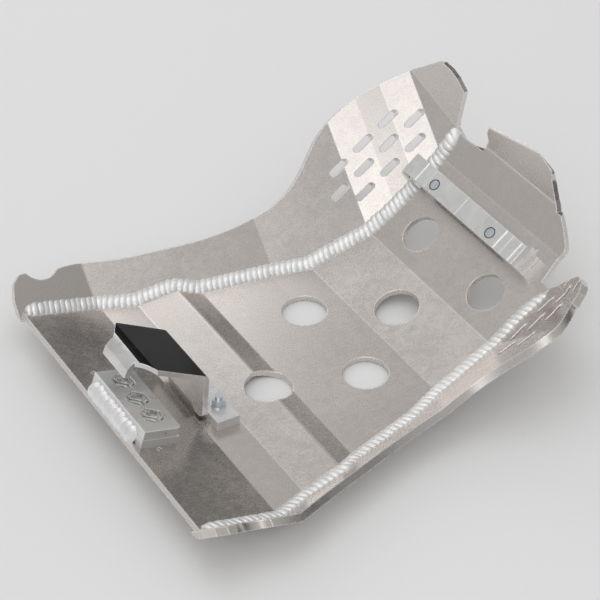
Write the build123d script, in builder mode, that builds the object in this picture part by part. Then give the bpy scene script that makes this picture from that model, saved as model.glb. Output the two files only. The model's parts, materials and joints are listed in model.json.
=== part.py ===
from build123d import *
import os
from math import cos, radians, sin, tan

# Welded skid plate for a motorcycle, aluminium sheet.
# X runs forward along the bike, Y to its left, Z up, in millimetres.
# The origin is the middle of the flat sole panel, on the ground.

# Sheets
belly_gauge = 4.8
wing_gauge = 6.0
strap_gauge = 4.5
bend_radius = 4.0

# Belly panels: length along the sheet and pitch in degrees, positive where it climbs forwards
rear_panel_length, rear_panel_pitch = 65.0, -20.0
heel_length, heel_pitch = 28.0, -6.5
ridge_back_length, ridge_back_pitch = 33.0, 5.5
ridge_front_length, ridge_front_pitch = 17.0, -15.0
sole_length, sole_pitch = 55.0, 0.0
instep_length, instep_pitch = 32.0, 0.7
toe_length, toe_pitch = 56.0, 13.5
ramp_length, ramp_pitch = 54.0, 30.5
bar_panel_length, bar_panel_pitch = 29.0, 35.5
nose_length, nose_pitch = 29.0, 50.5
lip_length, lip_pitch = 27.0, 74.0

# Wings: lean out from upright, rake of the folds, half widths of the belly where they meet it
wing_lean = 46.0
fold_rake = 3.4
rear_half_width = 133.3
heel_half_width = 134.0
sole_half_width = {"left": 96.5, "right": 99.5}
ramp_half_width = 82.0
ramp_waist = 1.3
sole_station = 5.0
waist_station = 25.0

# Round holes through the belly
front_hole_diameter, front_hole_spread, front_hole_reach = 31.0, 85.0, 26.5
centre_hole_diameter, centre_hole_reach = 35.0, 26.0
sole_hole_diameter, sole_hole_spread = 35.0, 85.0
drain_hole_diameter, drain_hole_side, drain_hole_reach = 36.0, 17.0, 3.5
rivet_hole_diameter = 4.0
rivet_places = ((16.4, 49.5), (18.3, -45.7))
nose_hole_diameter = 6.0
nose_hole_place = (21.0, -48.0)

# Slots through each wing, three staggered rows
slot_length, slot_width = 18.0, 5.6
slot_pitch, slot_row_pitch, slot_slope = 26.0, 14.2, 22.5
slot_centre = (114.5, 62.5)
slot_rows = ((1, 3), (0, 4), (-1, 3))

# Welds
bead_radius, bead_sink, bead_pitch, bead_crown = 9.0, 5.0, 6.0, 0.7
clamp_bead_radius, clamp_bead_pitch, clamp_bead_crown = 4.4, 5.8, 0.6

# Rear clamp
clamp_setback, clamp_depth = 4.5, 31.0
clamp_left, clamp_right = 32.0, -42.7
clamp_base_height, clamp_cap_height = 7.0, 7.4
clamp_corner = 4.0
clamp_bore = 11.0
pocket_across, pocket_pitch, pocket_inset, pocket_side = 15.5, 21.3, 16.0, -4.2
weld_left, weld_right = 26.0, -33.0

# Hook strap and the bar that it stands on
hook_bar_setback, hook_bar_depth, hook_bar_height = 7.0, 19.0, 8.0
hook_bar_left, hook_bar_right = 34.0, -38.0
strap_left, strap_right = 36.5, -24.0
strap_narrow_left, strap_narrow_right = 22.0, -10.0
strap_rise, strap_reach, strap_top_pitch = 40.7, 63.3, 34.0
strap_lip_length, strap_lip_pitch = 18.6, 24.0
strap_toe_clearance, strap_foot_clearance = 2.5, 7.0

# Front clamp bar
bar_depth, bar_gap, bar_height, pad_rise = 18.0, 9.0, 17.0, 0.8
bar_right, bar_right_shoulder = -57.0, -27.0
bar_left_shoulder, bar_left_foot, bar_left = 61.0, 74.0, 88.0
bar_bolt_left, bar_bolt_right = 54.0, -18.3

# Fasteners: M8 through the front bar, and M6 with sunk heads through the hook bar
m8, m8_head_across, m8_head_height, m8_washer, m8_washer_height = 8.0, 14.0, 4.4, 17.0, 1.6
m6, m6_sunk_across, m6_nut_across, m6_nut_height = 6.0, 11.6, 10.0, 5.0
m6_washer, m6_washer_height = 12.0, 1.2
thread_show = 2.0
bar_bolt_reach = 8.0
hook_bolt_left, hook_bolt_right, hook_bolt_reach = 28.0, -20.0, 11.0
bolt_clearance = 0.4


def walk(start, steps):
    points = [start]
    for length, pitch in steps:
        x, z = points[-1]
        angle = radians(pitch)
        points.append((x + length * cos(angle), z + length * sin(angle)))
    return points


def heading(a, b):
    return (Vector(*b) - Vector(*a)).normalized()


def offset_points(points, distance):
    # the mitred path that lies a distance to the left of the points
    shifted = []
    for index, point in enumerate(points):
        before = heading(points[max(index - 1, 0)], points[max(index, 1)])
        after = heading(points[min(index, len(points) - 2)], points[min(index + 1, len(points) - 1)])
        across = Vector(-(before.Y + after.Y), before.X + after.X).normalized()
        square = Vector(-before.Y, before.X)
        reach = distance / across.dot(square)
        shifted.append((point[0] + across.X * reach, point[1] + across.Y * reach))
    return shifted


def bend_radii(points, gauge, on_right):
    # the inside of each bend has the bend radius, and the outside has the gauge added
    radii = []
    for a, b, c in zip(points, points[1:], points[2:]):
        turn = heading(a, b).cross(heading(b, c)).Z
        turns_to_sheet = (turn < 0) == on_right
        shallow = abs(turn) < sin(radians(2))
        radii.append(0 if shallow else bend_radius + (gauge if turns_to_sheet else 0))
    return radii


def outer_radii(points, gauge, on_right):
    return [
        0 if radius == 0 else (bend_radius if radius > bend_radius else bend_radius + gauge)
        for radius in bend_radii(points, gauge, on_right)
    ]


def panel_plane(crease, pitch):
    angle = radians(pitch)
    return Plane(
        origin=(crease[0], 0, crease[1]),
        x_dir=(cos(angle), 0, sin(angle)),
        z_dir=(-sin(angle), 0, cos(angle)),
    )


# Belly profile, on the upper face of the sheet
origin_crease = (sole_length / 2, belly_gauge)
rearward = walk(
    origin_crease,
    (
        (-sole_length, sole_pitch),
        (-ridge_front_length, ridge_front_pitch),
        (-ridge_back_length, ridge_back_pitch),
        (-heel_length, heel_pitch),
        (-rear_panel_length, rear_panel_pitch),
    ),
)
sole_crease, ridge_crease, heel_crease, rear_crease, rear_edge = rearward[1:]
forward = walk(
    origin_crease,
    (
        (instep_length, instep_pitch),
        (toe_length, toe_pitch),
        (ramp_length, ramp_pitch),
        (bar_panel_length, bar_panel_pitch),
        (nose_length, nose_pitch),
        (lip_length, lip_pitch),
    ),
)
instep_crease, toe_crease, ramp_crease, bar_crease, nose_crease, lip_edge = forward[1:]
upper_path = rearward[::-1] + forward[1:]
lower_path = offset_points(upper_path, -belly_gauge)
upper_radii = bend_radii(upper_path, belly_gauge, True)
lower_radii = outer_radii(upper_path, belly_gauge, True)

rear_plane = panel_plane(rear_edge, rear_panel_pitch)
heel_plane = panel_plane(rear_crease, heel_pitch)
ridge_plane = panel_plane(ridge_crease, ridge_front_pitch)
sole_plane = panel_plane(origin_crease, sole_pitch)
toe_plane = panel_plane(instep_crease, toe_pitch)
ramp_plane = panel_plane(toe_crease, ramp_pitch)
bar_plane = panel_plane(ramp_crease, bar_panel_pitch)
nose_plane = panel_plane(bar_crease, nose_pitch)
lip_plane = panel_plane(nose_crease, lip_pitch)

half_room = 200.0
far_below = -120.0
far_above = 260.0
run_out = 60.0

# The ground that the wings stand over follows the belly, with both ends carried on straight
shell_path = upper_path[:-1]
long_path = (
    walk(shell_path[0], ((-run_out, rear_panel_pitch),))[1:]
    + shell_path[1:-1]
    + walk(shell_path[-1], ((run_out, nose_pitch),))[1:]
)
under_path = offset_points(long_path, -belly_gauge)
long_radii = bend_radii(long_path, belly_gauge, True)
under_radii = outer_radii(long_path, belly_gauge, True)

with BuildPart() as below_belly:
    with BuildSketch(Plane.XZ):
        with BuildLine():
            under = FilletPolyline(under_path, radius=under_radii)
            Polyline(
                under @ 1,
                ((under @ 1).X, far_below),
                ((under @ 0).X, far_below),
                under @ 0,
            )
        make_face()
    extrude(amount=half_room, both=True)

with BuildPart() as above_belly:
    with BuildSketch(Plane.XZ):
        with BuildLine():
            over = FilletPolyline(long_path, radius=long_radii)
            Polyline(
                over @ 1,
                ((over @ 1).X, far_above),
                ((over @ 0).X, far_above),
                over @ 0,
            )
        make_face()
    extrude(amount=half_room, both=True)


def height_at(x):
    # height of the upper face of the belly, its last panels carried on straight
    for a, b in zip(long_path, long_path[1:]):
        if x <= b[0]:
            break
    return a[1] + (x - a[0]) * (b[1] - a[1]) / (b[0] - a[0])


# The folds of a wing all run along one line, so its section across them is one bent path
lean = Vector(tan(radians(fold_rake)), sin(radians(wing_lean)), cos(radians(wing_lean))).normalized()
across_folds = (Vector(1, 0, 0) - lean * lean.X).normalized()
fold_plane = Plane(origin=(0, ramp_half_width, belly_gauge), x_dir=across_folds, z_dir=lean)
wing_plane = Plane(
    origin=(origin_crease[0], ramp_half_width, belly_gauge),
    x_dir=(1, 0, 0),
    z_dir=(0, -cos(radians(wing_lean)), sin(radians(wing_lean))),
)


def seam_stations(side):
    waist_x = toe_crease[0] + waist_station
    flat = [
        (rear_edge[0], rear_half_width),
        (rear_crease[0], heel_half_width),
        (origin_crease[0] + sole_station, sole_half_width[side]),
        (toe_crease[0], ramp_half_width),
        (waist_x, ramp_half_width - ramp_waist),
        (ramp_crease[0], ramp_half_width),
    ]
    if side == "left":
        flat.append((bar_crease[0], ramp_half_width))
        flat.append((nose_crease[0], ramp_half_width))
    return [Vector(x, y, height_at(x)) for x, y in flat]


def carried_on(points):
    # both ends of the run are carried on straight
    first = points[0] + (points[0] - points[1]).normalized() * run_out
    last = points[-1] + (points[-1] - points[-2]).normalized() * run_out
    return [first] + points[1:-1] + [last]


def in_plane(plane, points):
    flat = [plane.to_local_coords(point) for point in points]
    return [(point.X, point.Y) for point in flat]


inner_paths = {
    side: in_plane(fold_plane, carried_on(seam_stations(side))) for side in ("left", "right")
}

wing_room = 260.0
inside_wing = {}
for side, path in inner_paths.items():
    with BuildPart() as inside:
        with BuildSketch(fold_plane):
            with BuildLine():
                face = FilletPolyline(path, radius=bend_radii(path, wing_gauge, False))
                Polyline(
                    face @ 1,
                    ((face @ 1).X, -wing_room),
                    ((face @ 0).X, -wing_room),
                    face @ 0,
                )
            make_face()
        extrude(amount=wing_room, both=True)
        if side == "right":
            mirror(about=Plane.XZ, mode=Mode.REPLACE)
    inside_wing[side] = inside.part

# Belly plate, folded from one sheet with the nose lip at its front
nose_outline = {
    "right": ((-22, -72.5), (-13, -71), (-2.5, -69), (7.5, -70.5), (18.5, -58), (25.5, -48), (29, -41)),
    "left": ((24, 100), (23.5, 69), (24.5, 59), (27, 52), (29, 47)),
}
nose_corners = (0, 6, 8, 10, 10)
lip_outline = (
    (-6, -46),
    (2.5, -37),
    (14, -28),
    (21, -25),
    (lip_length, -4),
    (lip_length, 42),
    (17, 51.5),
    (11, 52.5),
    (5.5, 48),
    (-6, 50),
)
lip_corners = (4, 8, 6, 20, 7, 3, 2.5, 2)
trim_depth = 14.0
pocket_place = (clamp_setback + pocket_inset, pocket_side)
bar_bolt_places = ((bar_bolt_reach, bar_bolt_left), (bar_bolt_reach, bar_bolt_right))
hook_bolt_places = (
    (hook_bar_setback + hook_bolt_reach, hook_bolt_left),
    (hook_bar_setback + hook_bolt_reach, hook_bolt_right),
)
sink_taper = 45.0
m6_sunk_depth = (m6_sunk_across - m6) / 2 - bolt_clearance

with BuildPart() as belly:
    with BuildSketch(Plane.XZ):
        with BuildLine():
            upper = FilletPolyline(upper_path, radius=upper_radii)
            lower = FilletPolyline(lower_path, radius=lower_radii)
            Line(upper @ 0, lower @ 0)
            Line(upper @ 1, lower @ 1)
        make_face()
    extrude(amount=half_room, both=True)
    add(inside_wing["left"], mode=Mode.INTERSECT)
    add(inside_wing["right"], mode=Mode.INTERSECT)
    # the nose is trimmed round, and the lip has its own outline
    with BuildSketch(nose_plane):
        with BuildLine():
            corner = FilletPolyline(nose_outline["right"], radius=nose_corners)
            Polyline(
                corner @ 1,
                ((corner @ 1).X, -half_room),
                ((corner @ 0).X, -half_room),
                corner @ 0,
            )
        make_face()
        with BuildLine():
            Polyline(*nose_outline["left"], (29, half_room), (24, half_room), close=True)
        make_face()
    extrude(amount=trim_depth, both=True, mode=Mode.SUBTRACT)
    with BuildSketch(lip_plane):
        with Locations((half_room / 2 - bend_radius, 0)):
            Rectangle(half_room, 2 * half_room)
        with BuildLine():
            lip_rim = FilletPolyline(lip_outline, radius=lip_corners)
            Line(lip_rim @ 0, lip_rim @ 1)
        make_face(mode=Mode.SUBTRACT)
    extrude(amount=trim_depth, both=True, mode=Mode.SUBTRACT)
    with BuildSketch(ramp_plane):
        with Locations((front_hole_reach, 0)):
            with GridLocations(0, front_hole_spread, 1, 2):
                Circle(front_hole_diameter / 2)
    extrude(amount=trim_depth, both=True, mode=Mode.SUBTRACT)
    with BuildSketch(toe_plane):
        with Locations((centre_hole_reach, 0)):
            Circle(centre_hole_diameter / 2)
    extrude(amount=trim_depth, both=True, mode=Mode.SUBTRACT)
    with BuildSketch(sole_plane):
        with GridLocations(0, sole_hole_spread, 1, 2):
            Circle(sole_hole_diameter / 2)
    extrude(amount=trim_depth, both=True, mode=Mode.SUBTRACT)
    with BuildSketch(ridge_plane):
        with Locations((drain_hole_reach, -drain_hole_side)):
            Circle(drain_hole_diameter / 2)
    extrude(amount=trim_depth, both=True, mode=Mode.SUBTRACT)
    with BuildSketch(rear_plane):
        with Locations(*rivet_places):
            Circle(rivet_hole_diameter / 2)
        with Locations(pocket_place):
            with GridLocations(0, pocket_pitch, 1, 3):
                Circle(clamp_bore / 2)
    extrude(amount=trim_depth, both=True, mode=Mode.SUBTRACT)
    with BuildSketch(bar_plane):
        with Locations(nose_hole_place):
            Circle(nose_hole_diameter / 2)
        with Locations(*bar_bolt_places):
            Circle(m8 / 2 + bolt_clearance)
    extrude(amount=trim_depth, both=True, mode=Mode.SUBTRACT)
    with BuildSketch(heel_plane):
        with Locations(*hook_bolt_places):
            Circle(m6 / 2 + bolt_clearance)
    extrude(amount=trim_depth, both=True, mode=Mode.SUBTRACT)
    with BuildSketch(heel_plane.offset(-belly_gauge)):
        with Locations(*hook_bolt_places):
            Circle(m6_sunk_across / 2)
    extrude(amount=m6_sunk_depth, taper=sink_taper, mode=Mode.SUBTRACT)

belly.part.label = "belly_plate"
os.makedirs("parts", exist_ok=True)
export_step(belly.part, "parts/belly_plate.step")

# Wings. Outlines are drawn square to the lean: along the bike, and up the lean from the ramp's edge
tail_outline = ((-204, 0), (-196, 66), (-191, 78), (-184, 82.8), (-178, 82.3))
tail_dip = ((-178, 82.3), (-164, 72.8), (-152, 77))
top_line = {
    "left": ((-152, 77), (-131, 74.8), (-109, 68.4), (-78, 62), (-38, 55.6), (8, 55.4), (34, 61),
             (56, 74.5), (83, 97.8), (113, 110.3), (141, 114.3), (162, 113.8), (170, 113.4)),
    "right": ((-152, 77), (-131, 74.8), (-109, 68.4), (-78, 62), (-38, 55.6), (8, 55.4), (34, 61),
              (56, 74.5), (83, 95.5), (94, 98.8), (104, 98), (114, 94.3), (120, 90.5)),
}
front_bottom = {"left": (190, 20), "right": (139, 20)}
front_top = {"left": (190, 113.5), "right": (142, 60)}
low_point = (60, -20)
# The end flap folds in along a line between these two points, low and high.
# Its outline runs out from the fold and up along it, and ends at the high point
flap_line = {"left": ((172.5, 56.9), (162, 113.8)), "right": ((141, 41.2), (114, 94.3))}
flap_bend = {"left": 20.0, "right": 15.0}
flap_outline = {
    "left": ((4.5, 3.2), (19, 11.7), (25, 15.2), (28, 27.2), (28.5, 35.7), (27, 44.2), (23, 48.2)),
    "right": ((9.2, 15), (16, 32), (16.2, 43.5), (14.5, 52), (9, 58)),
}


def facet_of(side, index):
    # a plane on the inner face of a wing, between two of its folds
    stations = seam_stations(side)
    a, b = stations[index], stations[index + 1]
    return Plane(origin=a, x_dir=b - a, z_dir=(b - a).cross(lean))


def on_facet(facet, point):
    # from a point of the outline square onto the facet
    start = wing_plane.from_local_coords(Vector(*point, 0))
    travel = facet.z_dir.dot(facet.origin - start) / facet.z_dir.dot(wing_plane.z_dir)
    return start + wing_plane.z_dir * travel


for side in ("left", "right"):
    facet = facet_of(side, -2)
    low_end, high_end = [on_facet(facet, point) for point in flap_line[side]]
    fold_length = (high_end - low_end).length
    up_fold = (high_end - low_end).normalized()
    flap_normal = facet.z_dir.rotate(Axis(origin=(0, 0, 0), direction=up_fold), -flap_bend[side])
    mitre = Plane(origin=low_end, z_dir=up_fold.cross(facet.z_dir + flap_normal))
    flap_plane = Plane(origin=low_end, x_dir=up_fold.cross(flap_normal), z_dir=flap_normal)

    with BuildPart() as flap:
        with BuildSketch(flap_plane):
            with BuildLine():
                Polyline(
                    (-wing_gauge, 0),
                    (0, 0),
                    *flap_outline[side],
                    (0, fold_length),
                    (-wing_gauge, fold_length),
                    close=True,
                )
            make_face()
        extrude(amount=-wing_gauge)
        split(bisect_by=mitre, keep=Keep.TOP)

    with BuildPart() as wing:
        with BuildSketch(fold_plane):
            path = inner_paths[side]
            radii = bend_radii(path, wing_gauge, False)
            with BuildLine():
                inner = FilletPolyline(path, radius=radii)
                outer = FilletPolyline(
                    offset_points(path, wing_gauge), radius=outer_radii(path, wing_gauge, False)
                )
                Line(inner @ 0, outer @ 0)
                Line(inner @ 1, outer @ 1)
            make_face()
        extrude(amount=wing_room, both=True)
        with BuildSketch(wing_plane):
            with BuildLine():
                Polyline(*tail_outline)
                ThreePointArc(*tail_dip)
                Spline(*top_line[side])
                Polyline(
                    top_line[side][-1], front_top[side], front_bottom[side], low_point, tail_outline[0]
                )
            make_face()
        extrude(amount=wing_room, both=True, mode=Mode.INTERSECT)
        add(below_belly.part, mode=Mode.SUBTRACT)
        split(bisect_by=mitre, keep=Keep.BOTTOM)
        add(flap.part)
        with BuildSketch(wing_plane):
            with Locations(Location((slot_centre[0], slot_centre[1]), slot_slope)):
                for row, count in slot_rows:
                    with Locations((0, row * slot_row_pitch)):
                        with GridLocations(slot_pitch, 0, count, 1):
                            SlotOverall(slot_length, slot_width)
        extrude(amount=wing_room, both=True, mode=Mode.SUBTRACT)
        if side == "right":
            mirror(about=Plane.XZ, mode=Mode.REPLACE)
    wing.part.label = side + "_wing"
    export_step(wing.part, "parts/" + side + "_wing.step")


# Seam welds, a stack of ripples laid along the corner between the belly and each wing
def corner_points(side, stop_x):
    stations = seam_stations(side)
    creases = [point[0] for point in shell_path]
    spots = sorted({round(x, 6) for x in creases + [station.X for station in stations] if x < stop_x})
    if stop_x - spots[-1] > bead_pitch:
        spots.append(stop_x)
    corners = []
    for x in spots:
        z = height_at(x)
        for a, b in zip(stations, stations[1:]):
            if x <= b.X:
                break
        normal = (b - a).cross(lean)
        y = a.Y - (normal.X * (x - a.X) + normal.Z * (z - a.Z)) / normal.Y
        corners.append(Vector(x, y, z))
    return corners


bead_bisector = (Vector(0, -1, 0) + lean).normalized()
bead_start, bead_stop = 3.0, {"left": nose_crease[0] - 5, "right": ramp_crease[0] + 4}


def rippled_line(length, radius, pitch, crown):
    # half outline of a row of ripples, from the axis out and back
    count = max(round(length / pitch), 1)
    step = length / count
    points = [(0, 0), (0, radius)]
    arcs = [
        ((i * step, radius), ((i + 0.5) * step, radius + crown), ((i + 1) * step, radius))
        for i in range(count)
    ]
    return points, arcs, [(length, radius), (length, 0), (0, 0)]


for side in ("left", "right"):
    corners = corner_points(side, bead_stop[side])
    corners[0] = corners[0] + (corners[1] - corners[0]).normalized() * bead_start
    centres = [corner - bead_bisector * bead_sink for corner in corners]
    with BuildPart() as bead:
        for a, b in zip(centres, centres[1:]):
            run = b - a
            run_plane = Plane(origin=a, x_dir=run, z_dir=run.cross(bead_bisector))
            rise, ripples, fall = rippled_line(run.length, bead_radius, bead_pitch, bead_crown)
            with BuildSketch(run_plane):
                with BuildLine():
                    Polyline(*rise)
                    for ripple in ripples:
                        ThreePointArc(*ripple)
                    Polyline(*fall)
                make_face()
            revolve(axis=Axis(origin=a, direction=run))
        for centre in centres[1:-1]:
            with Locations(centre):
                Sphere(bead_radius)
        add(above_belly.part, mode=Mode.INTERSECT)
        if side == "right":
            mirror(about=Plane.XZ, mode=Mode.REPLACE)
        add(inside_wing[side], mode=Mode.INTERSECT)
    bead.part.label = side + "_seam_weld"
    export_step(bead.part, "parts/" + side + "_seam_weld.step")

# Rear clamp: a bored base with a cap of three hexagonal pockets, welded along its back
clamp_centre =(clamp_setback + clamp_depth / 2, (clamp_left + clamp_right) / 2)
clamp_size = (clamp_depth, clamp_left - clamp_right)

with BuildPart() as clamp_base:
    with BuildSketch(rear_plane):
        with Locations(clamp_centre):
            Rectangle(*clamp_size)
        with Locations(pocket_place):
            with GridLocations(0, pocket_pitch, 1, 3):
                Circle(clamp_bore / 2, mode=Mode.SUBTRACT)
    extrude(amount=clamp_base_height)
clamp_base.part.label = "clamp_base"
export_step(clamp_base.part, "parts/clamp_base.step")

with BuildPart() as clamp_cap:
    with BuildSketch(rear_plane.offset(clamp_base_height)) as cap_outline:
        with Locations(clamp_centre):
            Rectangle(*clamp_size)
        fillet(cap_outline.vertices().group_by(Axis.X)[-1], clamp_corner)
        with Locations(pocket_place):
            with GridLocations(0, pocket_pitch, 1, 3):
                RegularPolygon(pocket_across / 2, 6, major_radius=False, rotation=30, mode=Mode.SUBTRACT)
    extrude(amount=clamp_cap_height)
clamp_cap.part.label = "clamp_cap"
export_step(clamp_cap.part, "parts/clamp_cap.step")

with BuildPart() as clamp_weld:
    rise, ripples, fall = rippled_line(
        weld_left - weld_right, clamp_bead_radius, clamp_bead_pitch, clamp_bead_crown
    )
    weld_foot = rear_plane.from_local_coords(Vector(clamp_setback, weld_right, 0))
    weld_plane = Plane(origin=weld_foot, x_dir=(0, 1, 0), z_dir=rear_plane.x_dir)
    with BuildSketch(weld_plane):
        with BuildLine():
            Polyline(*rise)
            for ripple in ripples:
                ThreePointArc(*ripple)
            Polyline(*fall)
        make_face()
    revolve(axis=Axis(origin=weld_foot, direction=(0, 1, 0)))
    split(bisect_by=rear_plane, keep=Keep.TOP)
    split(bisect_by=Plane(origin=weld_foot, z_dir=rear_plane.x_dir), keep=Keep.BOTTOM)
clamp_weld.part.label = "clamp_weld"
export_step(clamp_weld.part, "parts/clamp_weld.step")

# Hook strap, folded, standing against the back of its bar on the heel panel
hook_bar_back = heel_plane.from_local_coords(Vector(hook_bar_setback, 0, 0))
leg_top = hook_bar_back + heel_plane.z_dir * strap_rise
leg_foot = hook_bar_back + heel_plane.z_dir * strap_toe_clearance
top_angle = radians(strap_top_pitch)
strap_back = leg_top + Vector(-cos(top_angle), 0, sin(top_angle)) * strap_reach
lip_angle = radians(strap_lip_pitch)
strap_end = strap_back - Vector(sin(lip_angle), 0, cos(lip_angle)) * strap_lip_length
strap_path = [(point.X, point.Z) for point in (strap_end, strap_back, leg_top, leg_foot)]
strap_back_radius, strap_front_radius = 12.0, 7.0
cut_start, cut_end = strap_back.X + 2, strap_back.X + 12
strap_step = 4.0

with BuildPart() as strap:
    with BuildSketch(Plane.XZ):
        with BuildLine():
            outside = FilletPolyline(strap_path, radius=(strap_back_radius, strap_front_radius))
            inside_face = FilletPolyline(
                offset_points(strap_path, -strap_gauge),
                radius=(strap_back_radius - strap_gauge, strap_front_radius - strap_gauge),
            )
            Line(outside @ 0, inside_face @ 0)
            Line(outside @ 1, inside_face @ 1)
        make_face()
    extrude(amount=half_room, both=True)
    with BuildSketch(Plane.XY):
        with BuildLine():
            Polyline(
                (-half_room * 2, strap_narrow_left),
                (cut_start, strap_narrow_left),
                (cut_end, strap_left),
                (leg_top.X + strap_gauge, strap_left),
                (leg_top.X + strap_gauge, strap_right),
                (cut_end, strap_right),
                (cut_start, strap_narrow_right),
                (-half_room * 2, strap_narrow_right),
                close=True,
            )
        make_face()
    extrude(amount=far_above, mode=Mode.INTERSECT)
    # the foot is cut back, and only its right end reaches down beside the bar
    leg_plane = Plane(origin=hook_bar_back, x_dir=(0, 1, 0), z_dir=-heel_plane.x_dir)
    with BuildSketch(leg_plane):
        with BuildLine():
            foot_sign = 1 if leg_plane.y_dir.Z > 0 else -1
            Polyline(
                (strap_right - 1, -5 * foot_sign),
                (strap_right - 1, (strap_toe_clearance + 4) * foot_sign),
                (strap_right + strap_step, strap_toe_clearance * foot_sign),
                (strap_right + 3 * strap_step, strap_toe_clearance * foot_sign),
                (strap_right + 4 * strap_step, strap_foot_clearance * foot_sign),
                (strap_left + 1, strap_foot_clearance * foot_sign),
                (strap_left + 1, -5 * foot_sign),
                close=True,
            )
        make_face()
    extrude(amount=strap_gauge * 2, both=True, mode=Mode.SUBTRACT)
strap.part.label = "hook_strap"
export_step(strap.part, "parts/hook_strap.step")

with BuildPart() as hook_bar:
    with BuildSketch(heel_plane):
        with Locations((hook_bar_setback + hook_bar_depth / 2, (hook_bar_left + hook_bar_right) / 2)):
            Rectangle(hook_bar_depth, hook_bar_left - hook_bar_right)
        with Locations(*hook_bolt_places):
            Circle(m6 / 2 + bolt_clearance, mode=Mode.SUBTRACT)
    extrude(amount=hook_bar_height)
hook_bar.part.label = "hook_bar"
export_step(hook_bar.part, "parts/hook_bar.step")

# Front clamp bar on two feet
bar_top = bar_height + pad_rise
with BuildPart() as bar:
    bar_face = Plane(origin=bar_plane.origin + bar_plane.x_dir * 0.4, x_dir=(0, 1, 0), z_dir=bar_plane.x_dir)
    with BuildSketch(bar_face):
        up = 1 if bar_face.y_dir.Z > 0 else -1
        with BuildLine():
            Polyline(
                (bar_right, 0),
                (bar_right, up * (bar_top - 6)),
                (bar_right + 4, up * bar_top),
                (bar_right_shoulder, up * bar_top),
                (bar_right_shoulder, up * bar_height),
                (bar_left_shoulder, up * bar_height),
                (bar_left_shoulder, up * bar_top),
                (bar_left, up * bar_top),
                (bar_left, up * bar_gap),
                (bar_left_foot, up * bar_gap),
                (bar_left_foot, 0),
                (bar_left_shoulder + 2, 0),
                (bar_left_shoulder, up * bar_gap),
                (bar_right_shoulder - 2, up * bar_gap),
                (bar_right_shoulder - 4, 0),
                close=True,
            )
        make_face()
    extrude(amount=bar_depth)
    with BuildSketch(bar_plane):
        with Locations(*bar_bolt_places):
            Circle(m8 / 2)
    extrude(amount=bar_top, mode=Mode.SUBTRACT)
bar.part.label = "front_bar"
export_step(bar.part, "parts/front_bar.step")


def write_washer(seat, place, across, hole, height, name):
    with BuildPart() as ring:
        with BuildSketch(seat):
            with Locations(place):
                Circle(across / 2)
                Circle(hole / 2, mode=Mode.SUBTRACT)
        extrude(amount=height)
    ring.part.label = name
    export_step(ring.part, "parts/" + name + ".step")


# The front bolts come up through the belly and end flush in the bar's top
socket_share = 0.55
m8_socket, m6_socket, m6_socket_depth = 5.0, 4.0, 1.8
bar_underside = bar_plane.offset(-belly_gauge)
under_washer = bar_underside.offset(-m8_washer_height)
for place, end in zip(bar_bolt_places, ("left", "right")):
    write_washer(
        under_washer, place, m8_washer, m8 + 2 * bolt_clearance, m8_washer_height, "front_washer_" + end
    )
    with BuildPart() as bolt:
        with BuildSketch(under_washer):
            with Locations(place):
                Circle(m8 / 2)
        extrude(amount=m8_washer_height + belly_gauge + bar_height)
        with BuildSketch(under_washer):
            with Locations(place):
                Circle(m8_head_across / 2)
        extrude(amount=-m8_head_height)
        along_bolt = Axis(origin=bar_plane.origin, direction=bar_plane.z_dir)
        fillet(bolt.faces().sort_by(along_bolt)[0].edges(), m8_head_height / 2)
        with BuildSketch(under_washer.offset(-m8_head_height)):
            with Locations(place):
                RegularPolygon(m8_socket / 2, 6, major_radius=False)
        extrude(amount=m8_head_height * socket_share, mode=Mode.SUBTRACT)
    bolt.part.label = "front_bolt_" + end
    export_step(bolt.part, "parts/" + bolt.part.label + ".step")

# The hook bolts are sunk flush in the belly, with a washer and a nut on the hook bar
heel_underside = heel_plane.offset(-belly_gauge)
hook_bar_top = heel_plane.offset(hook_bar_height)
for place, end in zip(hook_bolt_places, ("left", "right")):
    write_washer(
        hook_bar_top, place, m6_washer, m6 + 2 * bolt_clearance, m6_washer_height, "hook_washer_" + end
    )
    with BuildPart() as bolt:
        with BuildSketch(heel_underside):
            with Locations(place):
                Circle(m6_sunk_across / 2)
        extrude(amount=m6_sunk_depth, taper=sink_taper)
        with BuildSketch(heel_underside):
            with Locations(place):
                Circle(m6 / 2)
        extrude(amount=belly_gauge + hook_bar_height + m6_washer_height + m6_nut_height + thread_show)
        with BuildSketch(heel_underside):
            with Locations(place):
                RegularPolygon(m6_socket / 2, 6, major_radius=False)
        extrude(amount=m6_socket_depth, mode=Mode.SUBTRACT)
    bolt.part.label = "hook_bolt_" + end
    export_step(bolt.part, "parts/" + bolt.part.label + ".step")
    with BuildPart() as nut:
        with BuildSketch(hook_bar_top.offset(m6_washer_height)):
            with Locations(place):
                RegularPolygon(m6_nut_across / 2, 6, major_radius=False)
                Circle(m6 / 2, mode=Mode.SUBTRACT)
        extrude(amount=m6_nut_height)
    nut.part.label = "hook_nut_" + end
    export_step(nut.part, "parts/" + nut.part.label + ".step")
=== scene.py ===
import json
import math
import bmesh
import bpy
from mathutils import Matrix, Vector
from mathutils.bvhtree import BVHTree


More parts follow.
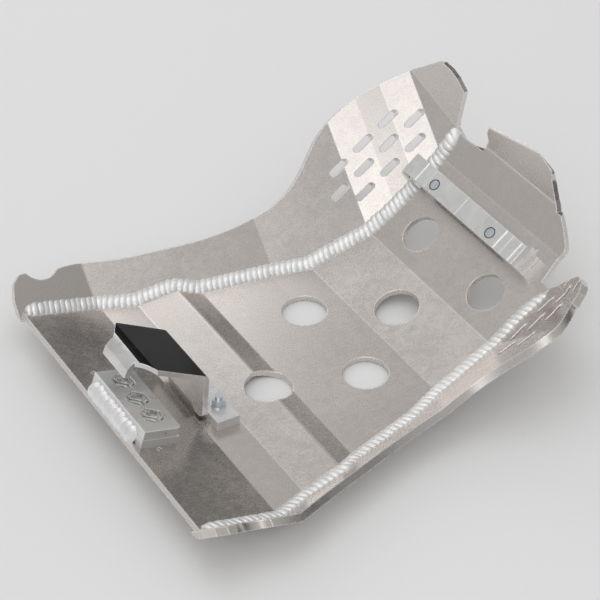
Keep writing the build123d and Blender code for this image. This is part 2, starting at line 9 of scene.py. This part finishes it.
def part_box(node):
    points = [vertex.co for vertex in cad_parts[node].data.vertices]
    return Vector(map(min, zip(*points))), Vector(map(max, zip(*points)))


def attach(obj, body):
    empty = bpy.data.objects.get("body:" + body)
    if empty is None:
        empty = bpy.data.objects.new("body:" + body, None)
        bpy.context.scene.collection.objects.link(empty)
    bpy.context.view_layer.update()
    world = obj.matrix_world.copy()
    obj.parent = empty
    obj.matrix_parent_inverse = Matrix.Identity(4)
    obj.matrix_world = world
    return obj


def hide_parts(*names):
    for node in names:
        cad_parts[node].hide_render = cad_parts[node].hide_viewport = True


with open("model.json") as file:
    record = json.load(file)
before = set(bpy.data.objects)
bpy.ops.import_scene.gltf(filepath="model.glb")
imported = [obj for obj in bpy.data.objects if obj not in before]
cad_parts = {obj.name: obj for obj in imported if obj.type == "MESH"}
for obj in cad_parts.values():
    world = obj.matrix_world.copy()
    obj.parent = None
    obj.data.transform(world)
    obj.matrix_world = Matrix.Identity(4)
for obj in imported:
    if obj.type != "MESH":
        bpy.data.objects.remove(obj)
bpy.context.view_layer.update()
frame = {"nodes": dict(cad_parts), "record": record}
nodes = frame["nodes"]
mm = 0.001
touch = 0.002 * mm  # points nearer than this are one point
level = 0.02 * mm  # points nearer than this lie in one plane
scene = bpy.context.scene
scene.view_settings.view_transform = "Standard"


# small helpers for node trees

def newMaterial(name):
    material = bpy.data.materials.new(name)
    material.use_nodes = True
    tree = material.node_tree
    tree.nodes.clear()
    output = tree.nodes.new("ShaderNodeOutputMaterial")
    shader = tree.nodes.new("ShaderNodeBsdfPrincipled")
    tree.links.new(shader.outputs["BSDF"], output.inputs["Surface"])
    return material, tree, shader


def connectShader(tree, shader, metal, colour, roughness, normal):
    shader.inputs["Metallic"].default_value = metal
    tree.links.new(colour, shader.inputs["Base Color"])
    tree.links.new(roughness, shader.inputs["Roughness"])
    tree.links.new(normal, shader.inputs["Normal"])


def objectSpace(tree, stretch=(1, 1, 1), turn=(0, 0, 0)):
    coords = tree.nodes.new("ShaderNodeTexCoord")
    mapping = tree.nodes.new("ShaderNodeMapping")
    mapping.inputs["Scale"].default_value = stretch
    mapping.inputs["Rotation"].default_value = turn
    tree.links.new(coords.outputs["Object"], mapping.inputs["Vector"])
    return mapping.outputs["Vector"]


def noise(tree, vector, scale, detail, rough, distortion=0.0):
    node = tree.nodes.new("ShaderNodeTexNoise")
    node.inputs["Scale"].default_value = scale
    node.inputs["Detail"].default_value = detail
    node.inputs["Roughness"].default_value = rough
    node.inputs["Distortion"].default_value = distortion
    tree.links.new(vector, node.inputs["Vector"])
    return node.outputs["Fac"]


def remap(tree, value, low, high, toLow, toHigh):
    node = tree.nodes.new("ShaderNodeMapRange")
    node.inputs["From Min"].default_value = low
    node.inputs["From Max"].default_value = high
    node.inputs["To Min"].default_value = toLow
    node.inputs["To Max"].default_value = toHigh
    tree.links.new(value, node.inputs["Value"])
    return node.outputs["Result"]


noiseSpan = (0.3, 0.7)  # most of a noise lies between these


def spread(tree, value, toLow=0, toHigh=1, span=noiseSpan):
    # stretches a noise's usual span over the whole range that is asked for
    return remap(tree, value, *span, toLow, toHigh)


def combine(tree, operation, a, b):
    node = tree.nodes.new("ShaderNodeMath")
    node.operation = operation
    for socket, value in zip(node.inputs, (a, b)):
        if isinstance(value, (int, float)):
            socket.default_value = value
        else:
            tree.links.new(value, socket)
    return node.outputs["Value"]


def addShares(tree, shares):
    # several patterns added up to one tone, each by its share
    tone = None
    for value, share in shares:
        part = combine(tree, "MULTIPLY", value, share)
        tone = part if tone is None else combine(tree, "ADD", tone, part)
    return tone


def blendColours(tree, factor, dark, pale):
    # a Mix node keeps its two colours at inputs 6 and 7, and their blend at output 2
    node = tree.nodes.new("ShaderNodeMix")
    node.data_type = "RGBA"
    for socket, colour in ((node.inputs[6], dark), (node.inputs[7], pale)):
        if isinstance(colour, tuple):
            socket.default_value = (*colour, 1)
        else:
            tree.links.new(colour, socket)
    tree.links.new(factor, node.inputs["Factor"])
    return node.outputs[2]


def bump(tree, height, strength, distance, under=None):
    node = tree.nodes.new("ShaderNodeBump")
    node.inputs["Strength"].default_value = strength
    node.inputs["Distance"].default_value = distance
    tree.links.new(height, node.inputs["Height"])
    if under is not None:
        tree.links.new(under, node.inputs["Normal"])
    return node.outputs["Normal"]


# folds and cut edges get a painted highlight, a paler colour laid along them: it begins and is full
# where the softened normal has turned this far from the surface's own, as cosines
paintedEdgeHighlight = {
    "begins": 0.9998,
    "full": 0.998,
    "samples": 4,
}


def softEdge(tree, radius):
    # sawn and cut edges are very slightly broken, so that they catch the light
    node = tree.nodes.new("ShaderNodeBevel")
    node.samples = paintedEdgeHighlight["samples"]
    node.inputs["Radius"].default_value = radius
    return node.outputs["Normal"]


def paintedEdgeColour(tree, tone, soft, look):
    # the metal's own two colours, and a painted highlight colour along its edges and folds
    surface = tree.nodes.new("ShaderNodeNewGeometry")
    turned = tree.nodes.new("ShaderNodeVectorMath")
    turned.operation = "DOT_PRODUCT"
    tree.links.new(surface.outputs["Normal"], turned.inputs[0])
    tree.links.new(soft, turned.inputs[1])
    highlightShare = remap(tree, turned.outputs["Value"], paintedEdgeHighlight["begins"], paintedEdgeHighlight["full"], 0, 1)
    plain = blendColours(tree, tone, look["dark"], look["pale"])
    return blendColours(tree, highlightShare, plain, look["paintedHighlight"])


# in each look below, a pattern is a noise's scale, detail, roughness and distortion,
# and a bump is its strength and its height

# rolled sheet: a fine mottled grain, lines along the rolling direction and faint handling smears
sheetLook = {
    "dark": (0.665, 0.62, 0.585),
    "pale": (0.75, 0.705, 0.67),
    # the painted highlight colour laid along folds and cut edges
    "paintedHighlight": (0.99, 0.98, 0.97),
    "metal": 1.0,
    "glossy": 0.23,
    "dull": 0.31,
    "edge": 1.0 * mm,
    "grain": (620, 2, 0.5),
    "grainShare": 0.28,
    "grainBump": (0.03, 0.1 * mm),
    "mottle": (150, 3, 0.6, 0.4),
    "mottleShare": 0.28,
    "lines": (1100, 2, 0.5),
    "lineStretch": (0.04, 1, 1),
    "lineTurn": 0.0,
    "lineShare": 0.20,
    "lineBump": (0.05, 0.1 * mm),
    "smears": (16, 4, 0.55, 0.8),
    "smearSpan": (0.35, 0.65),
    "smearShare": 0.24,
    "smearBump": (0.05, 1.2 * mm),
}
# the wings are the same sheet, a little greyer in its dark patches
wingLook = dict(
    sheetLook,
    dark=(0.67, 0.63, 0.60),
    smears=(17, 4, 0.55, 0.8),
    lineTurn=0.1,
)


def makeSheet(name, look):
    material, tree, shader = newMaterial(name)
    place = objectSpace(tree)
    rolled = objectSpace(tree, look["lineStretch"], (0, 0, look["lineTurn"]))
    grain = noise(tree, place, *look["grain"])
    mottle = noise(tree, place, *look["mottle"])
    lines = noise(tree, rolled, *look["lines"])
    smears = noise(tree, place, *look["smears"])
    tone = addShares(tree, (
        (spread(tree, grain), look["grainShare"]),
        (spread(tree, mottle), look["mottleShare"]),
        (spread(tree, lines), look["lineShare"]),
        (spread(tree, smears, span=look["smearSpan"]), look["smearShare"]),
    ))
    soft = softEdge(tree, look["edge"])
    surface = bump(tree, lines, *look["lineBump"], soft)
    surface = bump(tree, grain, *look["grainBump"], surface)
    surface = bump(tree, smears, *look["smearBump"], surface)
    colour = paintedEdgeColour(tree, tone, soft, look)
    roughness = spread(tree, tone, look["glossy"], look["dull"])
    connectShader(tree, shader, look["metal"], colour, roughness, surface)
    return material


# poured weld metal: bright and rippled, with a soft grain
weldLook = {
    "dark": (0.86, 0.86, 0.86),
    "pale": (0.98, 0.98, 0.98),
    "metal": 0.8,
    "glossy": 0.34,
    "dull": 0.50,
    "grain": (420, 4, 0.6),
    "grainBump": (0.16, 0.3 * mm),
    "patches": (90, 3, 0.5),
    "patchSpan": (0.3, 0.65),
}


def makeWeld(name, look):
    material, tree, shader = newMaterial(name)
    place = objectSpace(tree)
    grain = noise(tree, place, *look["grain"])
    patches = noise(tree, place, *look["patches"])
    tone = spread(tree, patches, span=look["patchSpan"])
    colour = blendColours(tree, tone, look["dark"], look["pale"])
    roughness = spread(tree, grain, look["glossy"], look["dull"])
    surface = bump(tree, grain, *look["grainBump"])
    connectShader(tree, shader, look["metal"], colour, roughness, surface)
    return material


# sawn and milled blocks: satin, with fine lines along their length
milledLook = {
    "dark": (0.70, 0.70, 0.695),
    "pale": (0.86, 0.86, 0.85),
    # the painted highlight colour laid along cut edges
    "paintedHighlight": (0.97, 0.97, 0.96),
    "metal": 0.72,
    "glossy": 0.24,
    "dull": 0.36,
    "edge": 0.7 * mm,
    "clouds": (60, 4, 0.6, 0.8),
    "cloudShare": 0.6,
    "lines": (700, 3, 0.6),
    "lineStretch": (1, 0.05, 1),
    "lineShare": 0.4,
    "lineBump": (0.10, 0.3 * mm),
}
# the nut pockets were cut with a sharp tool, and are nearly mirrors inside
pocketLook = dict(
    milledLook,
    dark=(0.84, 0.84, 0.83),
    pale=(0.98, 0.98, 0.97),
    metal=0.9,
    glossy=0.12,
    dull=0.22,
)


def makeMilled(name, look):
    material, tree, shader = newMaterial(name)
    clouds = noise(tree, objectSpace(tree), *look["clouds"])
    lines = noise(tree, objectSpace(tree, look["lineStretch"]), *look["lines"])
    tone = addShares(tree, ((spread(tree, clouds), look["cloudShare"]), (lines, look["lineShare"])))
    soft = softEdge(tree, look["edge"])
    colour = paintedEdgeColour(tree, tone, soft, look)
    roughness = spread(tree, clouds, look["glossy"], look["dull"])
    surface = bump(tree, lines, *look["lineBump"], soft)
    connectShader(tree, shader, look["metal"], colour, roughness, surface)
    return material


# the folded strap is bright, and its broad top face is polished and painted near black: a painted dark
# reflection on the same sheet
strapLook = {
    "dark": (0.66, 0.65, 0.64),
    "pale": (0.84, 0.83, 0.82),
    # the painted highlight colour laid along the strap's edges
    "paintedHighlight": (0.98, 0.97, 0.96),
    "metal": 0.85,
    "shine": 0.5,
    "glossy": 0.16,
    "dull": 0.30,
    "dullSpan": (0.32, 0.7),
    "edge": 0.6 * mm,
    "clouds": (42, 4, 0.55, 0.7),
    "lines": (800, 3, 0.6),
    "lineStretch": (1, 0.05, 1),
    "lineBump": (0.05, 0.2 * mm),
}
# painted dark reflection: the near-black colour given to the strap's top face
strapPaintedReflectionLook = dict(
    strapLook,
    dark=(0.006, 0.006, 0.007),
    pale=(0.012, 0.012, 0.012),
    paintedHighlight=(0.03, 0.03, 0.03),
    metal=0.0,
    shine=0.05,
    glossy=0.12,
    dull=0.20,
    edge=0.3 * mm,
)


def makeStrap(name, look):
    material, tree, shader = newMaterial(name)
    clouds = noise(tree, objectSpace(tree), *look["clouds"])
    lines = noise(tree, objectSpace(tree, look["lineStretch"]), *look["lines"])
    soft = softEdge(tree, look["edge"])
    colour = paintedEdgeColour(tree, spread(tree, clouds), soft, look)
    roughness = spread(tree, clouds, look["glossy"], look["dull"], look["dullSpan"])
    surface = bump(tree, lines, *look["lineBump"], soft)
    connectShader(tree, shader, look["metal"], colour, roughness, surface)
    shader.inputs["Specular IOR Level"].default_value = look["shine"]
    return material


# bright zinc on the bolts, nuts and washers
zincLook = {
    "dark": (0.66, 0.69, 0.73),
    "pale": (0.84, 0.87, 0.90),
    "metal": 1.0,
    "glossy": 0.18,
    "dull": 0.30,
    "patches": (260, 4, 0.6, 0.5),
    "patchBump": (0.06, 0.2 * mm),
}
# painted shade: a dark colour that stands for the shaded gap round each bolt end
gapPaintedShadeLook = dict(
    zincLook,
    dark=(0.07, 0.08, 0.10),
    pale=(0.13, 0.14, 0.17),
    glossy=0.35,
    dull=0.55,
)


def makeZinc(name, look):
    material, tree, shader = newMaterial(name)
    patches = noise(tree, objectSpace(tree), *look["patches"])
    colour = blendColours(tree, spread(tree, patches), look["dark"], look["pale"])
    roughness = spread(tree, patches, look["glossy"], look["dull"])
    surface = bump(tree, patches, *look["patchBump"])
    connectShader(tree, shader, look["metal"], colour, roughness, surface)
    return material


print("materials")
bellySheet = makeSheet("bellySheet", sheetLook)
wingSheet = makeSheet("wingSheet", wingLook)
weldMetal = makeWeld("weldMetal", weldLook)
milledBlock = makeMilled("milledBlock", milledLook)
pocketWall = makeMilled("pocketWall", pocketLook)
strapSheet = makeStrap("strapSheet", strapLook)
# the strap's top face, painted near black as a dark reflection
strapPaintedReflection = makeStrap("strapPaintedReflection", strapPaintedReflectionLook)
zincPlate = makeZinc("zincPlate", zincLook)
# painted shade for the shaded gaps round the bolt ends
boltGapPaintedShade = makeZinc("boltGapPaintedShade", gapPaintedShadeLook)


def dress(names, material):
    for name in names:
        data = nodes[name].data
        data.materials.clear()
        data.materials.append(material)


fasteners = [name for name in nodes if "bolt" in name or "washer" in name or "nut" in name]
welds = [name for name in nodes if "weld" in name]
dress(["belly_plate"], bellySheet)
dress(["left_wing", "right_wing"], wingSheet)
dress(["clamp_base", "clamp_cap", "hook_bar", "front_bar"], milledBlock)
dress(["hook_strap"], strapSheet)
dress(fasteners, zincPlate)
dress(welds, weldMetal)


# small helpers for meshes

def newObject(name, mesh, material):
    data = bpy.data.meshes.new(name)
    mesh.to_mesh(data)
    mesh.free()
    data.materials.append(material)
    made = bpy.data.objects.new(name, data)
    scene.collection.objects.link(made)
    return made


def finishMesh(name, mesh, material, sharpAngle=math.pi):
    # shaded smooth, apart from edges that turn more than the sharp angle
    bmesh.ops.recalc_face_normals(mesh, faces=mesh.faces)
    for edge in mesh.edges:
        edge.smooth = len(edge.link_faces) != 2 or edge.calc_face_angle() < sharpAngle
    for face in mesh.faces:
        face.smooth = True
    return newObject(name, mesh, material)


# weld beads: one flattened drop of metal after another, each laid on the last
weldDrop = {
    "around": 16,
    "rings": 10,
    "under": 0.25,  # how much of a drop's height is left below its middle
    # no two drops are quite alike: each sway of their width, and how fast it goes along the bead
    "sways": ((0.06, 2.3), (0.04, 5.1)),
}


def addDrop(mesh, place, travel, outward, radii, tilt, sweep, count):
    across = travel.cross(outward).normalized()
    up = across.cross(travel).normalized()
    axes = Matrix((travel, across, up)).transposed().to_4x4()
    wide = 1
    for size, pace in weldDrop["sways"]:
        wide += size * math.sin(count * pace)
    # a drop that spreads wider stands less high
    sizes = Matrix.Diagonal((radii[0], radii[1] * wide, radii[2] * (2 - wide), 1))
    lean = Matrix.Rotation(sweep, 4, "Z") @ Matrix.Rotation(tilt, 4, "Y")
    drop = bmesh.ops.create_uvsphere(
        mesh, u_segments=weldDrop["around"], v_segments=weldDrop["rings"], radius=1, matrix=lean @ sizes
    )["verts"]
    # the drop is flattened beneath, where it lies on the metal
    for vert in drop:
        vert.co.z = max(vert.co.z, vert.co.z * weldDrop["under"])
    bmesh.ops.transform(mesh, matrix=Matrix.Translation(place) @ axes, verts=drop)


def evenSteps(points, pitch):
    # places at one pitch along the line, each with the direction of travel there
    places = []
    due = 0.0
    for a, b in zip(points, points[1:]):
        run = (b - a).length
        while due <= run:
            places.append((a.lerp(b, due / run), (b - a).normalized()))
            due += pitch
        due -= run
    return places


def layBead(line, outward, weld, sign=1):
    # the sign mirrors the sweep of the drops for the bead on the other side
    mesh = bmesh.new()
    radii = Vector((weld["along"], weld["across"], weld["rise"]))
    steps = evenSteps(line, weld["pitch"])
    for count, (place, travel) in enumerate(steps):
        share = weld["endShare"] if count in (0, len(steps) - 1) else 1
        sunk = place - outward * weld["sunk"]
        addDrop(mesh, sunk, travel, outward, radii * share, weld["tilt"], sign * weld["sweep"], count)
    return mesh


# the seam welds fill the corners between the belly and the wings
seamWeld = {
    "pitch": 4.7 * mm,
    "across": 7.8 * mm,
    "along": 6.6 * mm,
    "rise": 3.8 * mm,
    "sunk": 0.2 * mm,
    "tilt": math.radians(26),
    "sweep": math.radians(24),
    "endShare": 0.8,
    "wingLean": math.radians(46),
    # the corner is felt for at even steps, from one end of the weld's solid to the other
    "step": 2.0 * mm,
    "startInset": 3.0 * mm,
    "endInset": 1.0 * mm,
    "above": 300 * mm,  # each feeler drops from here, well above the plate
    "clearTrack": 64 * mm,  # this far to the side, outside the belly's large round holes
    "skim": 0.1 * mm,  # then goes level out to the wing, this far above the belly
    "aimBack": 3,  # the last stretch goes on in line with this many steps before it
    "overrun": 3.0 * mm,
}


def treeOf(name):
    data = nodes[name].data
    return BVHTree.FromPolygons([v.co for v in data.vertices], [p.vertices for p in data.polygons])


bellyTree = treeOf("belly_plate")


def cornerAt(x, sign, wingTree):
    # down onto the belly, then level out to the wing's inner face
    track = sign * seamWeld["clearTrack"]
    top, _, _, _ = bellyTree.ray_cast(Vector((x, track, seamWeld["above"])), Vector((0, 0, -1)))
    if top is None:
        return None
    skim = Vector((x, track, top.z + seamWeld["skim"]))
    out, _, _, _ = wingTree.ray_cast(skim, Vector((0, sign, 0)))
    return None if out is None else Vector((x, out.y, top.z))


def seamLine(sign, wing, bead):
    wingTree = treeOf(wing)
    low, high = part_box(bead)
    corners = []
    x = low.x + seamWeld["startInset"]
    while x < high.x - seamWeld["endInset"]:
        corner = cornerAt(x, sign, wingTree)
        if corner is not None:
            corners.append(corner)
        x += seamWeld["step"]
    # past the notch the bead runs straight on to its own end
    last = corners[-1]
    travel = (last - corners[-1 - seamWeld["aimBack"]]).normalized()
    rest = (high.x + seamWeld["overrun"] - last.x) / travel.x
    return corners + [last + travel * rest]


print("seam welds")
for side, sign in (("left", 1), ("right", -1)):
    # the bead faces the middle of the corner, between the belly and the leaning wing
    alongBelly = Vector((0, -sign, 0))
    upWing = Vector((0, sign * math.sin(seamWeld["wingLean"]), math.cos(seamWeld["wingLean"])))
    line = seamLine(sign, side + "_wing", side + "_seam_weld")
    bead = layBead(line, (alongBelly + upWing).normalized(), seamWeld, sign)
    made = finishMesh(side + "SeamRipples", bead, weldMetal)
    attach(made, "root")
    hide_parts(side + "_seam_weld")


# the bead behind the clamp is short and heavy, with clear rings
clampWeld = {
    "pitch": 5.3 * mm,
    "across": 7.6 * mm,
    "along": 3.2 * mm,
    "rise": 6.4 * mm,
    "sunk": 0.0,
    "tilt": math.radians(36),
    "sweep": 0.0,
    "endShare": 1.0,
    # its line, measured from the sides of its solid's box
    "inset": 2.5 * mm,
    "lift": 4.2 * mm,
    "behind": 1.0 * mm,
    "outward": Vector((-0.80, 0, 0.60)),
}

print("clamp weld")
low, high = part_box("clamp_weld")
start = Vector((high.x - clampWeld["behind"], low.y + clampWeld["inset"], low.z + clampWeld["lift"]))
stop = Vector((start.x, high.y - clampWeld["inset"], start.z))
made = finishMesh("clampRipples", layBead((start, stop), clampWeld["outward"], clampWeld), weldMetal)
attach(made, "root")
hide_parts("clamp_weld")


# sawn blocks and the strap: the same shapes, with their edges broken
brokenEdge = {
    "widths": {
        "clamp_base": 0.6 * mm,
        "clamp_cap": 0.7 * mm,
        "hook_bar": 0.6 * mm,
        "front_bar": 0.5 * mm,
        "hook_strap": 0.5 * mm,
    },
    "segments": 2,
    "flat": math.radians(1),  # faces that turn less than this are one face
    "sharp": math.radians(35),  # edges that turn more than this are broken
    "shaded": math.radians(32),  # and what then turns more than this is shaded as an edge
}
frontBar = {
    "pitch": math.radians(35.5),
    # each line scored across the bar: where it lies, and how wide it is
    "grooves": (
        (-48.6 * mm, 0.7 * mm),
        (-38.2 * mm, 0.3 * mm),
        (-30.6 * mm, 0.9 * mm),
        (19.5 * mm, 0.3 * mm),
        (71.5 * mm, 0.7 * mm),
    ),
}
barUp = Vector((-math.sin(frontBar["pitch"]), 0, math.cos(frontBar["pitch"])))


def copyOf(name):
    mesh = bmesh.new()
    mesh.from_mesh(nodes[name].data)
    bmesh.ops.remove_doubles(mesh, verts=mesh.verts, dist=touch)
    bmesh.ops.dissolve_limit(mesh, angle_limit=brokenEdge["flat"], verts=mesh.verts, edges=mesh.edges)
    return mesh


def cutGroove(mesh, y, width):
    # a scored line: three cuts across the bar, and the middle one is pressed down
    for offset in (-width, 0, width):
        geometry = mesh.verts[:] + mesh.edges[:] + mesh.faces[:]
        bmesh.ops.bisect_plane(
            mesh, geom=geometry, plane_co=(0, y + offset, 0), plane_no=(0, 1, 0), dist=touch
        )
    middle = [v for v in mesh.verts if abs(v.co.y - y) < level]
    top = max(v.co.dot(barUp) for v in middle)
    pressed = [v for v in middle if v.co.dot(barUp) > top - level]
    bmesh.ops.translate(mesh, verts=pressed, vec=barUp * -width)


def breakEdges(mesh, width):
    sharp = [
        e for e in mesh.edges if len(e.link_faces) == 2 and e.calc_face_angle() > brokenEdge["sharp"]
    ]
    bmesh.ops.bevel(
        mesh, geom=sharp, offset=width, offset_type="OFFSET", segments=brokenEdge["segments"],
        profile=0.5, affect="EDGES", material=-1, clamp_overlap=True,
    )


strapFold = {
    "topPitch": math.radians(34),
    "paintedReflectionTurn": math.radians(36),  # the painted dark reflection runs this far round the strap's bend
}
strapUp = Vector((math.sin(strapFold["topPitch"]), 0, math.cos(strapFold["topPitch"])))


# the faces that are painted near black as a dark reflection
def isPaintedReflectionFace(face):
    return face.normal.dot(strapUp) > math.cos(strapFold["paintedReflectionTurn"])


nutPocket = {
    "reach": 8.0 * mm,  # how far a pocket's walls lie from its bore's line
    "square": 0.9,  # a face whose normal follows the bore's line this closely is no wall
}
bores = [mount for mount in frame["record"]["mounts"] if mount["kind"] == "bore"]


def isPocketFace(face):
    # the walls of the nut pockets and of their bores
    for bore in bores:
        line = Vector(bore["axis"])
        away = face.calc_center_median() - Vector(bore["pos_m"])
        away -= line * away.dot(line)
        if away.length < nutPocket["reach"] and abs(face.normal.dot(line)) < nutPocket["square"]:
            return True
    return False


# each finish: the main material, the second one, the faces that take it, and the slot
blockFinish = (milledBlock, pocketWall, isPocketFace, "machined")
# on the strap, the second material is the painted dark reflection of its top face
strapAndPaintedReflection = (strapSheet, strapPaintedReflection, isPaintedReflectionFace, "strap")

print("blocks")
for name, width in brokenEdge["widths"].items():
    mesh = copyOf(name)
    if name == "front_bar":
        for y, grooveWidth in frontBar["grooves"]:
            cutGroove(mesh, y, grooveWidth)
    breakEdges(mesh, width)
    main, second, takesSecond, slot = strapAndPaintedReflection if name == "hook_strap" else blockFinish
    for face in mesh.faces:
        face.normal_update()
        if takesSecond(face):
            face.material_index = 1
    made = finishMesh(name + "Broken", mesh, main, brokenEdge["shaded"])
    made.data.materials.append(second)
    weigh = made.modifiers.new("weigh", "WEIGHTED_NORMAL")
    weigh.keep_sharp = True
    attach(made, "root")
    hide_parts(name)


# a dark ring of painted shade lies round each bolt end in the front bar, where the gap is shaded
boltShadeRing = {
    "radius": 4.3 * mm,
    "wire": 0.42 * mm,  # the radius of the ring's own section
    "sides": 8,
    "steps": 32,
}


def makeBoltShadeRing(bolt):
    ends = nodes[bolt].data.vertices
    top = max(v.co.dot(barUp) for v in ends)
    rim = [v.co for v in ends if v.co.dot(barUp) > top - level]
    centre = sum(rim, Vector()) / len(rim)
    axes = barUp.to_track_quat("Z", "X").to_matrix().to_4x4()
    upright = Matrix.Translation((boltShadeRing["radius"], 0, 0)) @ Matrix.Rotation(math.radians(90), 4, "X")
    mesh = bmesh.new()
    bmesh.ops.create_circle(mesh, segments=boltShadeRing["sides"], radius=boltShadeRing["wire"], matrix=upright)
    bmesh.ops.spin(
        mesh, geom=mesh.verts[:] + mesh.edges[:], cent=(0, 0, 0), axis=(0, 0, 1),
        angle=math.radians(360), steps=boltShadeRing["steps"], use_merge=True,
    )
    bmesh.ops.remove_doubles(mesh, verts=mesh.verts, dist=touch)
    bmesh.ops.transform(mesh, matrix=Matrix.Translation(centre) @ axes, verts=mesh.verts)
    return mesh


print("bolt rings")
for side in ("left", "right"):
    made = finishMesh("boltShadeRing" + side.capitalize(), makeBoltShadeRing("front_bolt_" + side), boltGapPaintedShade)
    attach(made, "root")


# floor, light and camera
studio = {
    "floorDark": (0.78, 0.78, 0.78),
    "floorPale": (0.80, 0.80, 0.80),
    "floorGrain": (300, 3, 0.5),
    "floorRoughness": 0.8,
    "floorSize": 6.0,
    "floorDrop": 0.2 * mm,  # keeps the floor out of the sole's own plane
    # the room's light on all that doesn't mirror it
    "fill": 0.70,
    # how bright the room is in a mirror at each height, from level to straight up
    "sky": ((0.0, 0.90), (0.05, 0.80), (0.13, 0.09), (0.36, 0.10), (0.55, 0.52), (1.0, 0.46)),
    # a pale wall stands behind the plate's heel, and fades out towards the nose
    "rearWall": 0.50,
    "wallFade": (-0.15, 0.35),
    # each softbox: its name, place, aim, width, depth and power
    "softboxes": (
        ("keyBox", (-0.1, 0.1, 1.9), (0, 0, 0), 1.7, 1.4, 6),
        ("backBox", (0.3, 1.5, 1.0), (0.05, 0, 0), 0.9, 0.6, 2),
        ("faceBox", (-0.80, -1.25, 1.5), (0.1, 0.1, 0), 0.9, 0.9, 3),
    ),
}


def makeFloor():
    material, tree, shader = newMaterial("paleFloor")
    grain = noise(tree, objectSpace(tree), *studio["floorGrain"])
    colour = blendColours(tree, grain, studio["floorDark"], studio["floorPale"])
    tree.links.new(colour, shader.inputs["Base Color"])
    shader.inputs["Roughness"].default_value = studio["floorRoughness"]
    mesh = bmesh.new()
    bmesh.ops.create_grid(mesh, x_segments=1, y_segments=1, size=studio["floorSize"])
    bmesh.ops.translate(mesh, verts=mesh.verts, vec=(0, 0, -studio["floorDrop"]))
    newObject("floor", mesh, material)


def addBackground(tree, strength=1.0):
    node = tree.nodes.new("ShaderNodeBackground")
    node.inputs["Color"].default_value = (1, 1, 1, 1)
    node.inputs["Strength"].default_value = strength
    return node


def mixShaders(tree, factor, first, second):
    node = tree.nodes.new("ShaderNodeMixShader")
    for source, socket in zip((factor, first, second), node.inputs):
        tree.links.new(source, socket)
    return node.outputs["Shader"]


def makeWorld():
    world = bpy.data.worlds.new("studio")
    scene.world = world
    world.use_nodes = True
    tree = world.node_tree
    tree.nodes.clear()
    output = tree.nodes.new("ShaderNodeOutputWorld")
    coords = tree.nodes.new("ShaderNodeTexCoord")
    split = tree.nodes.new("ShaderNodeSeparateXYZ")
    tree.links.new(coords.outputs["Generated"], split.inputs["Vector"])
    ramp = tree.nodes.new("ShaderNodeValToRGB")
    tree.links.new(split.outputs["Z"], ramp.inputs["Fac"])
    bands = ramp.color_ramp.elements
    while len(bands) < len(studio["sky"]):
        bands.new(0.5)  # each band is put in its own place below
    for band, (rise, brightness) in zip(bands, studio["sky"]):
        band.position = rise
        band.color = (brightness, brightness, brightness, 1)
    wall = remap(tree, split.outputs["X"], *studio["wallFade"], studio["rearWall"], 0)
    sky = addBackground(tree)
    tree.links.new(combine(tree, "MAXIMUM", ramp.outputs["Color"], wall), sky.inputs["Color"])
    fill = addBackground(tree, studio["fill"])
    white = addBackground(tree)
    path = tree.nodes.new("ShaderNodeLightPath")
    seen = combine(tree, "MAXIMUM", path.outputs["Is Glossy Ray"], path.outputs["Is Transmission Ray"])
    light = mixShaders(tree, seen, fill.outputs["Background"], sky.outputs["Background"])
    final = mixShaders(tree, path.outputs["Is Camera Ray"], light, white.outputs["Background"])
    tree.links.new(final, output.inputs["Surface"])


def addSoftbox(name, place, aim, width, depth, power):
    lamp = bpy.data.lights.new(name, "AREA")
    lamp.shape = "RECTANGLE"
    lamp.size = width
    lamp.size_y = depth
    lamp.energy = power
    made = bpy.data.objects.new(name, lamp)
    made.location = place
    made.rotation_euler = (Vector(aim) - Vector(place)).to_track_quat("-Z", "Y").to_euler()
    scene.collection.objects.link(made)


# the photograph's camera, solved from the folds and the round holes
photoView = {
    "place": Vector((-568.2, -940.1, 1001.8)) * mm,
    "right": Vector((0.8452, -0.5340, -0.0245)),
    "down": Vector((-0.3636, -0.5407, -0.7585)),
    "forward": Vector((0.3918, 0.6500, -0.6512)),
    "sensor": 36,
    "lens": 118.25,
}


def makeCamera():
    lens = bpy.data.cameras.new("view")
    lens.sensor_width = photoView["sensor"]
    lens.lens = photoView["lens"]
    made = bpy.data.objects.new("view", lens)
    turn = Matrix((photoView["right"], -photoView["down"], -photoView["forward"])).transposed().to_4x4()
    made.matrix_world = Matrix.Translation(photoView["place"]) @ turn
    scene.collection.objects.link(made)
    scene.camera = made


print("stage")
makeFloor()
makeWorld()
for softbox in studio["softboxes"]:
    addSoftbox(*softbox)
makeCamera()

print("finish")
